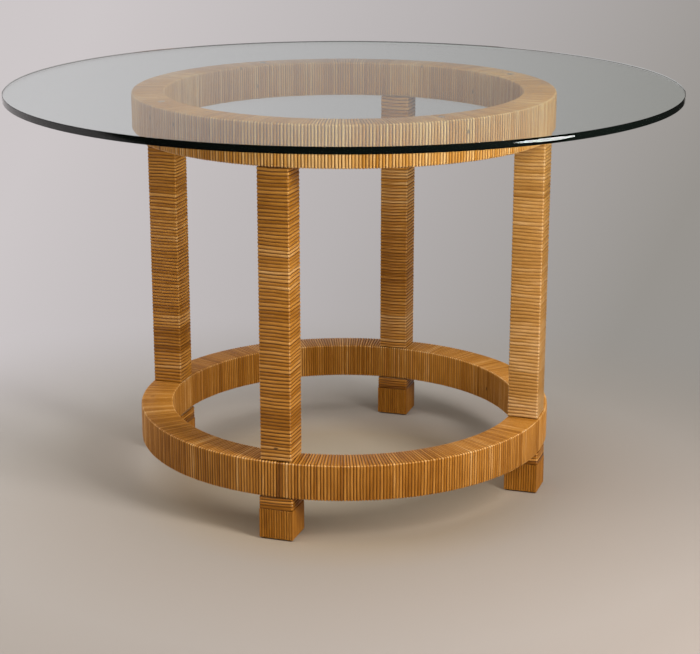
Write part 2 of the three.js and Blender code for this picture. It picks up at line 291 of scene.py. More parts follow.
def reed_material(name, tones, middle, cane_share, strip_share, faintest, deepest):
    """Split rattan. The shares say how much its tone differs between canes and strips."""
    material, tree = new_material(name)
    uv = put(tree, "UVMap", uv_map="reed")
    where = put(tree, "SeparateXYZ", {0: uv.outputs["UV"]})
    count, along = where.outputs["X"], where.outputs["Y"]
    across = put(tree, "Math", {0: count}, operation="FRACT").outputs[0]
    strip, tone, fibre = strip_tones(tree, count, along, middle, cane_share, strip_share)
    colour = stops(put(tree, "ValToRGB", {0: tone}), *tones).outputs["Color"]
    knot = knots(tree, strip, across, along)
    line = lines(tree, count, across, faintest, deepest)
    # The knots are the cane's own colour; the lines are old lacquer with painted shade of the
    # grooves.
    for amount, shade in ((knot, REED_KNOT), (line, LACQUER_AND_SHADE_LINE)):
        colour = put(tree, "Mix", {0: amount, 6: colour, 7: linear(shade)},
                     data_type="RGBA").outputs[2]

    # Old lacquer gives the eye a satin sheen with a soft highlight along each strip. It is
    # rougher in the lines, where it gathers dust, and follows the fibres.
    rough = put(tree, "MapRange", {0: fibre, 1: 0.2, 2: 0.8, 3: 0.30, 4: 0.46})
    rough = put(tree, "Math", {0: line, 1: 0.25, 2: rough.outputs[0]}, operation="MULTIPLY_ADD")
    bump = put(tree, "Bump", {"Height": fibre, "Strength": 0.35, "Distance": 0.25 * MM})
    shader = put(tree, "BsdfPrincipled", {
        "Base Color": colour, "Roughness": rough.outputs[0], "Normal": bump.outputs[0],
        "IOR": 1.5, "Specular IOR Level": 0.22,
        "Coat Weight": 0.15, "Coat Roughness": 0.14, "Coat IOR": 1.5})
    put(tree, "OutputMaterial", {0: shader.outputs[0]})
    print(name, len(tree.nodes), "nodes")
    return material


reed = reed_material("split_rattan_lacquered", REED_TONES, middle=0.50, cane_share=0.28,
                     strip_share=0.36, faintest=0.55, deepest=0.97)
# The right post's lines are fainter painted shade, as light falls full on it.
even_reed = reed_material("split_rattan_even_lacquered", EVEN_TONES, middle=0.64,
                          cane_share=0.12, strip_share=0.14, faintest=0.22, deepest=0.52)
# The slats are darker partly as their own tone and partly as painted shade, low under the ring.
slats = reed_material("fine_rattan_slats_lacquered", REED_TONES, middle=0.34,
                      cane_share=0.08, strip_share=0.16, faintest=0.20, deepest=0.50)

# %% [markdown]
# ## Shape of a winding
#
# A winding is one long reed laid round and round a square bar. Modelled as
# hundreds of loose loops it would hide most of its faces, and would no longer
# be a spiral. So it is made as one skin. The grid operator makes a flat sheet
# with six rows to each turn of the reed and one column for each point of the
# bar's outline. The sheet is rolled round the bar, and its rows are pushed
# out in a half-round hump for each turn. Along one hidden side the columns
# slide on by a whole turn, so the last column meets the first one a turn
# later. Merging the two closes the skin into a true spiral.
#
# No two strips are equally wide or thick, and turns laid by hand stray a
# little. So each turn has its own width and height, and a slow noise, read
# at the point's place in the room, moves the skin to and fro along the bar.

# %% Outline of a bar


def outline(wide, high, corner, bends, cuts):
    """Points round a rounded rectangle, from where its lower side begins.

    Each is (place, way out, distance so far), and the first comes again at the end.
    """
    bm = bmesh.new()
    bmesh.ops.create_grid(bm, x_segments=1, y_segments=1, size=0.5)
    bmesh.ops.scale(bm, vec=(wide, high, 1), verts=bm.verts)
    bmesh.ops.bevel(bm, geom=bm.verts[:], offset=corner, affect="VERTICES",
                    segments=bends, profile=0.5, material=-1)
    bmesh.ops.delete(bm, geom=bm.faces[:], context="FACES_ONLY")
    flats = [e for e in bm.edges if e.calc_length() > 1.5 * corner]
    bmesh.ops.subdivide_edges(bm, edges=flats, cuts=cuts)
    points = sorted((v.co.xy.copy() for v in bm.verts),
                    key=lambda p: math.atan2(p.y, p.x))
    bm.free()
    start = Vector((-wide / 2 + corner, -high / 2))
    first = min(range(len(points)), key=lambda i: (points[i] - start).length)
    points = points[first:] + points[:first + 1]
    chain, far = [], 0.0
    for i, p in enumerate(points):
        inner = Vector((max(-wide / 2 + corner, min(wide / 2 - corner, p.x)),
                        max(-high / 2 + corner, min(high / 2 - corner, p.y))))
        far += (p - points[i - 1]).length if i else 0.0
        chain.append((p, (p - inner).normalized(), far))
    return chain


sample = outline(wide=60 * MM, high=90 * MM, corner=4 * MM, bends=4, cuts=1)
print("outline of a 60 by 90 mm bar:", len(sample) - 1, "points,",
      round(sample[-1][2] / MM, 1), "mm round")

# %% Turns of a reed
ROWS = 6    # to a turn
WIDTH_SPREAD = 0.10     # of a turn's width, wider or narrower
HEIGHT_SPREAD = 0.22    # of a turn's height, only lower


def lay_turns(number, length, spare, seed, first=1.0):
    """Where each row lies along the bar, and its height at the start and end of its turn.

    spare is the number of further turns before the first and after the last, and first is
    how much wider the first turn is than the others.
    """
    rng = random.Random(seed)
    widths = [1 + rng.uniform(-WIDTH_SPREAD, WIDTH_SPREAD) for _ in range(number)]
    widths[0] *= first
    unit = length / sum(widths)
    starts = [sum(widths[:i]) * unit for i in range(number)]
    proud = [1 + rng.uniform(-HEIGHT_SPREAD, 0.0) for _ in range(number)]
    rows = []
    for row in range(-spare * ROWS, (number + spare + 1) * ROWS + 1):
        turn, part = divmod(row, ROWS)
        lap, turn = divmod(turn, number)
        hump = 1 - (2 * part / ROWS - 1) ** 2
        rows.append((lap * length + starts[turn] + widths[turn] * unit * part / ROWS,
                     proud[turn] * hump, proud[(turn + 1) % number] * hump))
    return rows


print("rows for ten turns and the one that closes them:", len(lay_turns(10, 1.0, 0, 0)))

# %% Skin of a winding
# At a bend a strip is paler, partly its own colour and partly a painted highlight along the edge.
BEND_PALE_AND_HIGHLIGHT = 0.34         # on the tone's scale from 0 to 1
STRAY_LENGTH = 40 * MM    # how far along a strip it goes from one side to the other
STRIPS_APART = 500        # in the count of strips, so that no two windings look the same


def reed_skin(chain, rows, flat, crown, place, stray, first_strip, shade):
    """Roll a grid round the bar whose outline is chain.

    flat is how much of the outline the step to the next turn takes, and crown the height of
    a hump. place turns a point of the outline and a length along the bar into space. stray
    is about twice as far as the turns stray along the bar. shade says how much paler a turn
    is than the rest of the table, on the side of the bar that looks out that way; on the
    upper ring that is painted light.
    """
    steps, last = len(rows) - 1 - ROWS, len(chain) - 1
    bm = bmesh.new()
    row, column = bm.verts.layers.int.new("row"), bm.verts.layers.int.new("column")
    paler = bm.verts.layers.float.new("paler")
    bmesh.ops.create_grid(bm, x_segments=steps, y_segments=last, size=1)
    for v in bm.verts:
        v[row] = k = round((v.co.x + 1) / 2 * steps)
        v[column] = c = round((v.co.y + 1) / 2 * last)
        point, out, far = chain[c]
        moved, share = min(1.0, far / flat), far / chain[last][2]
        length = rows[k][0] * (1 - moved) + rows[k + ROWS][0] * moved
        lift = crown * (rows[k][1] * (1 - share) + rows[k][2] * share)
        length += stray * noise.noise(Vector(place(point, length)) / STRAY_LENGTH)
        v.co = place(point + out * lift, length)
        # Painted highlight at a bend, together with the strip's own paler colour there.
        bend = (min(abs(out.x), abs(out.y)) * math.sqrt(2)) ** 3
        v[paler] = BEND_PALE_AND_HIGHLIGHT * bend + shade(math.floor(k / ROWS + moved), out)
    uv = bm.loops.layers.uv.new("reed")
    for face in bm.faces:
        face.smooth = True
        for loop in face.loops:
            c = loop.vert[column]
            strip = first_strip + loop.vert[row] / ROWS + min(1.0, chain[c][2] / flat)
            loop[uv].uv = (strip, chain[c][2])
    for edge in bm.edges:
        a, b = edge.verts
        if a[row] == b[row] and a[row] % ROWS == 0:
            edge.smooth = False
    rim = [v for v in bm.verts if v.is_boundary]
    bmesh.ops.remove_doubles(bm, verts=rim, dist=WELD)
    return bm


# %% [markdown]
# ## Ring windings
#
# The reed goes round a ring's square section, so its turns lie radially on
# the top, upright on the outside and closer together on the inside. The
# sheet is rolled round the section and bent round the table's axis. The
# edges of the real rings are rounded over by about 4 mm. Inside the skin a
# spun square tube is the reed's flat back, against the wood. The upper ring
# is painted paler than the rest of the table as painted light, most of all
# on its outside, and the lower one has two brown turns under the front post.

# %% Sizes of a ring
RING_CORNER = 4 * MM
RING_CROWN = 1.7 * MM
RING_BAND = 60 * MM
RING_STRAY = 0.5 * MM
RING_STEPS = 128
REED_THICKNESS = 2.6 * MM
print("a ring's reed: a hump of", round(RING_CROWN / MM, 1), "mm on a back of",
      round((REED_THICKNESS - RING_CROWN) / MM, 1), "mm")

# %% Flat back of a ring's reed


def add_ring_bore(bm, centre, middle, wide, tall):
    """The flat back of the reed, a square tube that looks in at the wood."""
    w = wide / 2 - REED_THICKNESS + RING_CROWN
    h = tall / 2 - REED_THICKNESS + RING_CROWN
    corners = [bm.verts.new((centre + x, 0, middle + z))
               for x, z in ((-w, -h), (w, -h), (w, h), (-w, h))]
    edges = [bm.edges.new((corners[i - 1], corners[i])) for i in range(4)]
    before = set(bm.faces)
    bmesh.ops.spin(bm, geom=corners + edges, cent=(0, 0, 0), axis=(0, 0, 1),
                   angle=2 * math.pi, steps=RING_STEPS, use_merge=True)
    wall = [f for f in bm.faces if f not in before]
    bm.normal_update()
    turned = []
    for face in wall:
        mid = face.calc_center_median()
        axis = Vector((mid.x, mid.y, 0)).normalized() * centre
        if face.normal.dot(mid - axis - Vector((0, 0, middle))) > 0:
            turned.append(face)
    bmesh.ops.reverse_faces(bm, faces=turned)


# %% Wound rings


def wound_ring(name, node, seed, shade):
    """The whole winding of a ring, in the box of its CAD node."""
    low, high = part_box(node)
    radius, middle = high.x, (low.z + high.z) / 2
    wide, tall = RING_BAND - 2 * RING_CROWN, high.z - low.z - 2 * RING_CROWN
    centre, corner = radius - RING_BAND / 2, RING_CORNER - RING_CROWN
    number = round(2 * math.pi * radius / REED_WIDTH)

    def place(spot, turn):
        r = centre + spot.x
        return r * math.cos(turn), r * math.sin(turn), middle + spot.y

    bm = reed_skin(outline(wide, tall, corner, bends=4, cuts=1),
                   lay_turns(number, 2 * math.pi, 0, seed), wide - 2 * corner, RING_CROWN,
                   place, RING_STRAY / radius, seed * STRIPS_APART, shade)
    bmesh.ops.recalc_face_normals(bm, faces=bm.faces[:])
    add_ring_bore(bm, centre, middle, wide, tall)
    return make_piece(bm, name, reed, "base", "reed", node)


BROWN_TURNS = {322: -0.15, 323: -0.5, 324: -0.5}    # under the front post
# Painted light on the upper ring: paler than its reed, most on its outside, less on its top and
# inside.
UPPER_OUTSIDE_PAINTED_LIGHT, UPPER_ELSEWHERE_PAINTED_LIGHT = 0.25, 0.12
wound_ring("lower_ring_reed", "lower_ring_wrap", 1,
           lambda turn, out: BROWN_TURNS.get(turn, 0.0))
wound_ring("upper_ring_reed", "upper_ring_wrap", 2,
           lambda turn, out: UPPER_OUTSIDE_PAINTED_LIGHT if out.x > 0.5 else UPPER_ELSEWHERE_PAINTED_LIGHT)

# %% [markdown]
# ## Post and neck windings
#
# A post is wound from the lower ring to the upper one, and the short neck
# between a foot and the lower ring takes four turns. The sheet is rolled
# with a spare turn at each end. Then the ends are cut level, as a winder
# trims the reed, and closed by a rim that goes in to the wood. The lowest
# turn of a neck is wide and brown, and the post on the right has stains.

# %% Ends of a winding


def close_ends(bm, centre, half):
    """A rim at each end, in to the wood, and the inside wall between the two rims."""
    rims = [e for e in bm.edges if e.is_boundary]
    new = bmesh.ops.extrude_edge_only(bm, edges=rims)["geom"]
    for v in (g for g in new if isinstance(g, bmesh.types.BMVert)):
        x, y = v.co.x - centre.x, v.co.y - centre.y
        share = half / max(abs(x), abs(y))
        v.co.x, v.co.y = centre.x + x * share, centre.y + y * share
    inner = [g for g in new if isinstance(g, bmesh.types.BMEdge) and g.is_boundary]
    bmesh.ops.bridge_loops(bm, edges=inner)
    bmesh.ops.recalc_face_normals(bm, faces=bm.faces[:])


# %% Wound posts and necks
POST_CORNER = 3.2 * MM
POST_CROWN = 1.4 * MM
POST_PITCH = 6.3 * MM
POST_STRAY = 1.7 * MM


def wound_bar(name, node, seed, finish, shade, first=1.0):
    """The whole winding of a square bar, in the box of its CAD node."""
    low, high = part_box(node)
    centre, tall = (low + high) / 2, high.z - low.z
    size, corner = high.x - low.x - 2 * POST_CROWN, POST_CORNER - POST_CROWN
    turned = Matrix.Rotation(math.atan2(-centre.y, -centre.x) + math.pi / 2, 2)

    def place(spot, length):
        spot = turned @ spot
        return centre.x + spot.x, centre.y + spot.y, low.z + length

    bm = reed_skin(outline(size, size, corner, bends=3, cuts=1),
                   lay_turns(round(tall / POST_PITCH), tall, 1, seed, first),
                   size - 2 * corner, POST_CROWN, place, POST_STRAY, seed * STRIPS_APART, shade)
    for level, way in ((low.z, 1), (high.z, -1)):
        bmesh.ops.bisect_plane(bm, geom=bm.verts[:] + bm.edges[:] + bm.faces[:], dist=WELD,
                               plane_co=(0, 0, level), plane_no=(0, 0, way), clear_inner=True)
    close_ends(bm, centre, size / 2 - REED_THICKNESS + POST_CROWN)
    return make_piece(bm, name, finish, "base", "reed", node)


# Post 1 is the right one, 2 the back, 3 the left and 4 the front one. Each has its finish and
# how much paler its hank is. The stains are at a post and a turn, counted from the spare one.
HANKS = {1: (even_reed, 0.0), 2: (reed, 0.05), 3: (reed, -0.04), 4: (reed, 0.0)}
STAINED_TURNS = {(1, 66): -0.34, (1, 68): -0.16, (1, 69): -0.12, (1, 73): -0.12}
LOWEST_PALER, LOWEST_WIDER = -0.32, 1.4
for k, (finish, paler) in HANKS.items():
    wound_bar(f"post_reed_{k}", f"post_wrap_{k}", 2 + k, finish,
              lambda turn, out: paler + STAINED_TURNS.get((k, turn), 0.0))
    wound_bar(f"neck_reed_{k}", f"neck_wrap_{k}", 6 + k, reed,
              lambda turn, out: LOWEST_PALER if turn <= 1 else 0.0, first=LOWEST_WIDER)

# %% [markdown]
# ## Feet
#
# A foot isn't wound. It is faced with short upright slats of a finer reed,
# about 4.6 mm wide. One slat starts as a disc, squashed and cut in half for
# the half-round section, then raised to the foot's height with its ends
# eased. The row on each face runs over the edge of the next row, so the
# corners look the same all round.

# %% One slat
SLAT_WIDTH = 4.6 * MM
SLAT_ROUND = 0.62    # of its thickness, in front of the flat sides


def one_slat(width, thick, tall):
    """A half-round slat standing on the origin, with its rounded side towards -Y."""
    bm = bmesh.new()
    bmesh.ops.create_circle(bm, cap_ends=True, segments=12, radius=1)
    bmesh.ops.scale(bm, vec=(width / 2, thick * SLAT_ROUND, 1), verts=bm.verts)
    bmesh.ops.bisect_plane(bm, geom=bm.verts[:] + bm.edges[:] + bm.faces[:],
                           plane_co=(0, 0, 0), plane_no=(0, 1, 0), clear_outer=True)
    back = [v for v in bm.verts if abs(v.co.y) < WELD]
    front = [v for v in bm.verts if v not in back]
    bmesh.ops.translate(bm, vec=(0, -thick * (1 - SLAT_ROUND), 0), verts=front)
    for v in back:
        v.co.x = math.copysign(width / 2, v.co.x)
    new = bmesh.ops.extrude_face_region(bm, geom=bm.faces[:])["geom"]
    top = [g for g in new if isinstance(g, bmesh.types.BMVert)]
    bmesh.ops.translate(bm, vec=(0, 0, tall), verts=top)
    bmesh.ops.recalc_face_normals(bm, faces=bm.faces[:])

    # Both ends are eased along their rounded edge, not at the back.
    ends = [e for e in bm.edges if abs(e.verts[0].co.z - e.verts[1].co.z) < WELD
            and min(e.verts[0].co.y, e.verts[1].co.y) < -thick * 0.3]
    bmesh.ops.bevel(bm, geom=ends, offset=0.25 * MM, affect="EDGES", segments=1,
                    profile=0.5, material=-1)
    uv = bm.loops.layers.uv.new("reed")
    for face in bm.faces:
        for loop in face.loops:
            across = loop.vert.co.x / width + 0.5
            loop[uv].uv = (min(0.999, max(0.001, across)), loop.vert.co.z)
    mesh = bpy.data.meshes.new("slat")
    bm.to_mesh(mesh)
    bm.free()
    return mesh


# %% Faced feet
SLAT_UNEVEN = 0.15    # mm that a slat may lie deeper than the next


def foot_slats(name, node, seed):
    """The four rows of slats round a foot, in the box of its CAD node."""
    low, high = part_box(node)
    centre, size = (low + high) / 2, high.x - low.x
    number = round((size - REED_THICKNESS) / SLAT_WIDTH)
    width = (size - REED_THICKNESS) / number
    slat = one_slat(width, REED_THICKNESS, high.z - low.z)
    bm = bmesh.new()
    uv = bm.loops.layers.uv.new("reed")
    rng = random.Random(seed)
    for side in range(4):
        quarter = Matrix.Rotation(side * math.pi / 2, 3, "Z")
        for i in range(number):
            first_v, first_f = len(bm.verts), len(bm.faces)
            bm.from_mesh(slat)
            bm.verts.ensure_lookup_table()
            bm.faces.ensure_lookup_table()
            verts, faces = bm.verts[first_v:], bm.faces[first_f:]
            x = -size / 2 + (i + 0.5) * width
            deep = -size / 2 + REED_THICKNESS + rng.uniform(0, SLAT_UNEVEN) * MM
            bmesh.ops.translate(bm, vec=(x, deep, 0), verts=verts)
            bmesh.ops.rotate(bm, cent=(0, 0, 0), matrix=quarter, verts=verts)
            bmesh.ops.translate(bm, vec=(centre.x, centre.y, low.z), verts=verts)
            for face in faces:
                for loop in face.loops:
                    loop[uv].uv.x += seed * STRIPS_APART + side * number + i
    bpy.data.meshes.remove(slat)
    return make_piece(bm, name, slats, "base", "reed", node)


for k in range(1, 5):
    foot_slats(f"foot_slats_{k}", f"foot_wrap_{k}", 10 + k)

# %% [markdown]
# ## The glass top
#
# The top is 12 mm float glass, ground and polished at its edge with a small
# arris. Seen from above it is almost clear. Looking into its edge, the light
# has gone through up to a metre of glass, and the iron in it makes that dark
# green. Volume Absorption gives both from one number, and no green paint is
# needed. Lamps look for a straight way through, so for their rays alone the
# glass is a clear shader with a trace of green.
#
# The photograph shows the ring under the glass more clearly than plain glass
# would at so low an angle, as if a polarising filter had taken away most of
# the mirror. So the flat faces bend light less than real glass does, and
# only the polished side has the index of real glass. The side also stands
# out by a hair in the middle, as a polishing wheel leaves it, which draws a
# lamp's reflection out into a thin bright streak.

# %% Glass materials


def clear_to_lamps(tree, shader, colour):
    """A shader that lamps shine through as through a clear sheet of a colour."""
    clear = put(tree, "BsdfTransparent", {"Color": linear(colour)})
    path = put(tree, "LightPath")
    return put(tree, "MixShader", {0: path.outputs["Is Shadow Ray"], 1: shader.outputs[0],
                                   2: clear.outputs[0]})


def glass_material(name, ior, dull, colour, through):
    """Clear glass with smudges about 17 cm across, which dull it by at most dull."""
    material, tree = new_material(name)
    at = put(tree, "TexCoord")
    smudge = put(tree, "TexNoise", {"Vector": at.outputs["Object"], "Scale": 6.0, "Detail": 3.0})
    gloss = put(tree, "MapRange", {0: smudge.outputs["Fac"], 1: 0.35, 2: 0.75, 3: 0.0, 4: dull})
    shader = put(tree, "BsdfPrincipled", {
        "Base Color": linear(colour), "Transmission Weight": through, "IOR": ior,
        "Roughness": gloss.outputs[0]})
    both = clear_to_lamps(tree, shader, "#f9fcfa")
    tint = put(tree, "VolumeAbsorption", {"Color": (0.42, 0.69, 0.69, 1), "Density": 10.0})
    put(tree, "OutputMaterial", {0: both.outputs[0], 1: tint.outputs[0]})
    print(name, len(tree.nodes), "nodes")
    return material


glass_face = glass_material("clear_float_glass", ior=1.14, dull=0.02,
                            colour="#ffffff", through=1.0)
glass_edge = glass_material("clear_float_glass_polished_edge", ior=1.52, dull=0.09,
                            colour="#b4dcc8", through=0.994)

# %% Profile of the glass
GLASS_STEPS = 256
GLASS_ARRIS = 0.7 * MM
ARRIS_MIDDLE = 0.3         # of the arris, where the middle of its curve passes the corner
GLASS_BULGE = 0.15 * MM    # how far the middle of the polished side stands out
SIDE_STEPS = 6

low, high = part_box("glass_top")
radius, arris, rim = high.x, GLASS_ARRIS, high.x - GLASS_BULGE
eased = arris * ARRIS_MIDDLE
side = [(radius - GLASS_BULGE * (2 * i / SIDE_STEPS - 1) ** 2,
         low.z + arris + (high.z - low.z - 2 * arris) * i / SIDE_STEPS)
        for i in range(SIDE_STEPS + 1)]
profile = [(0, low.z), (rim - arris, low.z), (rim - eased, low.z + eased), *side,
           (rim - eased, high.z - eased), (rim - arris, high.z), (0, high.z)]
print("glass:", round(2 * radius / MM), "mm across,", round((high.z - low.z) / MM, 1), "mm thick")

# %% Spin the disc
bm = bmesh.new()
verts = [bm.verts.new((x, 0, z)) for x, z in profile]
edges = [bm.edges.new(pair) for pair in zip(verts, verts[1:])]
bmesh.ops.spin(bm, geom=verts + edges, cent=(0, 0, 0), axis=(0, 0, 1),
               angle=2 * math.pi, steps=GLASS_STEPS, use_merge=True)
bmesh.ops.remove_doubles(bm, verts=bm.verts[:], dist=WELD)
bmesh.ops.recalc_face_normals(bm, faces=bm.faces[:])
print("disc:", len(bm.faces), "faces")

# %% Its flat faces, arris and polished side
LEVEL, SLOPING = 0.99, 0.2    # how far up or down a face's normal points, at least

for face in bm.faces:
    face.smooth = face.calc_center_median().xy.length > rim - 2 * arris
for edge in bm.edges:
    kinds = [sum(abs(f.normal.z) > tilt for tilt in (LEVEL, SLOPING)) for f in edge.link_faces]
    edge.smooth = kinds[0] == kinds[1]
for face in bm.faces:
    face.material_index = int(abs(face.normal.z) < SLOPING)
disc = make_piece(bm, "glass_disc", glass_face, "glass", "glass", "glass_top")
disc.data.materials.append(glass_edge)

# %% [markdown]
# ## Finishes of the hidden parts
#
# The wood, bolts, washers, glides and pads keep their CAD shapes, and each
# gets a finish of its own. They show from below, or through the glass. A
# plain colour would do for most of them, but one noise in the colour, the
# gloss and the surface makes each look like its material from close by too.

# %% Hardwood
# Beech sawn along its grain: a pale brown, matt, with streaks that are finer across the
# grain, about 11 mm, than along it, about 170 mm.
wood, tree = new_material("beech_sawn")
at = put(tree, "TexCoord")
grain_map = put(tree, "Mapping", {"Vector": at.outputs["Object"], "Scale": (90.0, 90.0, 6.0)})
grain = put(tree, "TexNoise", {"Vector": grain_map.outputs[0], "Scale": 1.0, "Detail": 4.0,
                               "Distortion": 0.4})
ramp = stops(put(tree, "ValToRGB", {0: grain.outputs["Fac"]}),
             (0.3, "#9a7348"), (0.55, "#b68d5f"), (0.8, "#caa577"))
rough = put(tree, "MapRange", {0: grain.outputs["Fac"], 3: 0.6, 4: 0.8})
bump = put(tree, "Bump", {"Height": grain.outputs["Fac"], "Strength": 0.3, "Distance": 0.3 * MM})
shader = put(tree, "BsdfPrincipled", {"Base Color": ramp.outputs[0], "Roughness": rough.outputs[0],
                                      "IOR": 1.5, "Normal": bump.outputs[0]})
put(tree, "OutputMaterial", {0: shader.outputs[0]})
print("beech_sawn", len(tree.nodes), "nodes")

# %% Zinc plate
# Steel plated with zinc: a light grey metal, half glossy, mottled in spots of about 2.5 mm.
zinc, tree = new_material("steel_zinc_plated")
at = put(tree, "TexCoord")
mottle = put(tree, "TexNoise", {"Vector": at.outputs["Object"], "Scale": 400.0, "Detail": 3.0})
ramp = stops(put(tree, "ValToRGB", {0: mottle.outputs["Fac"]}), (0.3, "#a9adb0"), (0.7, "#c9cccd"))
rough = put(tree, "MapRange", {0: mottle.outputs["Fac"], 3: 0.28, 4: 0.45})
shader = put(tree, "BsdfPrincipled", {"Base Color": ramp.outputs[0], "Metallic": 1.0,
                                      "Roughness": rough.outputs[0]})
put(tree, "OutputMaterial", {0: shader.outputs[0]})
print("steel_zinc_plated", len(tree.nodes), "nodes")

# %% Nylon
# Moulded nylon: nearly black, with a low sheen and a fine texture. Its grain of about 0.3 mm
# wouldn't show, so it is drawn about 1.1 mm coarse.
nylon, tree = new_material("nylon_moulded")
at = put(tree, "TexCoord")
speck = put(tree, "TexNoise", {"Vector": at.outputs["Object"], "Scale": 900.0, "Detail": 2.0})
ramp = stops(put(tree, "ValToRGB", {0: speck.outputs["Fac"]}), (0.3, "#2a2622"), (0.7, "#383430"))
rough = put(tree, "MapRange", {0: speck.outputs["Fac"], 3: 0.42, 4: 0.6})
bump = put(tree, "Bump", {"Height": speck.outputs["Fac"], "Strength": 0.2, "Distance": 0.1 * MM})
shader = put(tree, "BsdfPrincipled", {"Base Color": ramp.outputs[0], "IOR": 1.53,
                                      "Roughness": rough.outputs[0], "Normal": bump.outputs[0]})
put(tree, "OutputMaterial", {0: shader.outputs[0]})
print("nylon_moulded", len(tree.nodes), "nodes")

# %% Vinyl
# Soft clear vinyl, pressed against glass and reed: wetted on both sides, it almost vanishes,
# so it bends light very little and has a faint haze in patches of about 3 mm.
vinyl, tree = new_material("soft_vinyl_clear")
at = put(tree, "TexCoord")
haze = put(tree, "TexNoise", {"Vector": at.outputs["Object"], "Scale": 300.0, "Detail": 2.0})
ramp = stops(put(tree, "ValToRGB", {0: haze.outputs["Fac"]}), (0.3, "#f5f2ea"), (0.7, "#fbfaf6"))
rough = put(tree, "MapRange", {0: haze.outputs["Fac"], 3: 0.10, 4: 0.25})
shader = put(tree, "BsdfPrincipled", {"Base Color": ramp.outputs[0], "IOR": 1.05,
                                      "Transmission Weight": 1.0, "Roughness": rough.outputs[0]})
put(tree, "OutputMaterial", {0: clear_to_lamps(tree, shader, "#f4f2ea").outputs[0]})
print("soft_vinyl_clear", len(tree.nodes), "nodes")

# %% Give each CAD node its finish
FINISHES = {"core": wood, "steel": zinc, "glide": nylon, "pad": vinyl}
for part in frame["record"]["subparts"]:
    finish = FINISHES.get(part["material_slot"])
    if finish:
        solid = frame["nodes"][part["node"]]
        solid.data.materials.clear()
        solid.data.materials.append(finish)

# %% [markdown]
# ## The studio paper
#
# The table stands on grey studio paper, which fills the whole picture. Near
# the table the paper is a plain matt surface that takes light and shadow. Its
# colour is painted a little paler at the left than at the right, as painted
# light, and darker and warmer close to the base, as painted shade and warm
# light bounced from the reed. Where it is too far away to take the table's
# shadow, it glows with a painted tone instead, painted light that the camera
# sees as it is, paler at the far left than at the far right, and the glass
# mirrors the same tones. The paper is so large that its rim lies near the
# horizon, and its tone turns into the world's there, so that no line shows
# in any view.
#
# A mirror-like side of the glass would show pale paper all round and look
# grey. The photograph has it nearly black, because it mirrors a dark studio.
# So a dark room is painted into the reflections alone: mirrored rays that run beside or behind the
# camera see it.
# Rays that the glass lets through don't, or the glass would look black.

# %% Tones of the paper
# Near paper colours, with painted light: paler at the left than at the right.
PAPER_NEAR = ("#bcb4af", "#a1968e")    # on the left and on the right
# Painted shade and warm bounced light on the paper round the base, as a tint by distance from it.
PAPER_PAINTED_SHADE = ((0.0, "#f3efde"), (0.36, "#f0e4ce"), (0.5, "#f1ede6"),
                 (0.63, "#f6f3ef"), (0.88, "#ffffff"))
# The far paper glows with these painted tones of light, paler at the left.
PAPER_FAR_PAINTED_LIGHT = ((0.0, "#cdc7c8"), (0.5, "#b7b2b2"), (1.0, "#97938e"))
FAN = 0.19    # the far tones run from this far left of straight ahead to as far right


def far_tone(tree, sideways):
    """The painted light of the far paper, a glowing tone from the left of the picture to its
    right.
    """
    share = put(tree, "MapRange", {0: sideways, 1: -FAN, 2: FAN})
    return stops(put(tree, "ValToRGB", {0: share.outputs[0]}), *PAPER_FAR_PAINTED_LIGHT).outputs["Color"]


print("far paper, in linear light:", [round(linear(c)[0], 2) for _, c in PAPER_FAR_PAINTED_LIGHT])

# %% Dark room, and rays that look at something
# A painted reflection: the dark room that only mirrored rays see.
ROOM = "#262422"
ROOM_BEHIND = (0.35, -0.15)    # the room starts and is full, on the way from ahead to behind
ROOM_BESIDE = (0.20, 0.30)     # and on the way to the right


def with_room(tree, tone, sideways, forward):
    """What a mirror sees: the paper ahead, and a painted dark room beside and behind the camera,
    which only reflections show.
    """
    path = put(tree, "LightPath")
    mirrored = put(tree, "Math", {0: path.outputs["Is Glossy Ray"],
                                  1: path.outputs["Is Transmission Ray"]},
                   operation="SUBTRACT", use_clamp=True)
    ahead = put(tree, "MapRange", {0: forward, 1: ROOM_BEHIND[0], 2: ROOM_BEHIND[1]},
                interpolation_type="SMOOTHSTEP")
    beside = put(tree, "MapRange", {0: sideways, 1: ROOM_BESIDE[0], 2: ROOM_BESIDE[1]},
                 interpolation_type="SMOOTHSTEP")
    dark = put(tree, "Math", {0: ahead.outputs[0], 1: beside.outputs[0]}, operation="MAXIMUM")
    dark = put(tree, "Math", {0: dark.outputs[0], 1: mirrored.outputs[0]}, operation="MULTIPLY")
    return put(tree, "Mix", {0: dark.outputs[0], 6: tone, 7: linear(ROOM)},
               data_type="RGBA").outputs[2]


def looked_at(tree):
    """1 for rays that the camera, a reflection or the glass looks along, and 0 for light."""
    path = put(tree, "LightPath")
    seen = put(tree, "Math", {0: path.outputs["Is Camera Ray"], 1: path.outputs["Is Glossy Ray"]},
               operation="MAXIMUM")
    return put(tree, "Math", {0: seen.outputs[0], 1: path.outputs["Is Transmission Ray"]},
               operation="MAXIMUM").outputs[0]


# %% Far paper, which glows with painted light
# X runs to the right of the picture and Y away from the camera. The tones fan out from where
# the camera stands. The fan is folded just before it, so that it opens behind it as well.
PAPER_RADIUS = 200.0
STAND_BACK = 3.3        # metres from the table's axis to the fan's point
FAN_NEAREST = 1.0       # metres before its point, where the fan is folded
FAN_LEFT = 0.6          # metres that its point lies to the left
FAN_TURNED = 0.11       # of a metre, for each metre away, that its middle line goes right
MIRRORED_AHEAD = (0.4, 0.6)    # turns metres ahead into the dark room's scale
RIM_FROM = 9.0          # metres, further away than the photograph's view reaches
RIM_FULL = 0.1          # of RIM_FROM divided by the distance: from 90 m it is all the world's

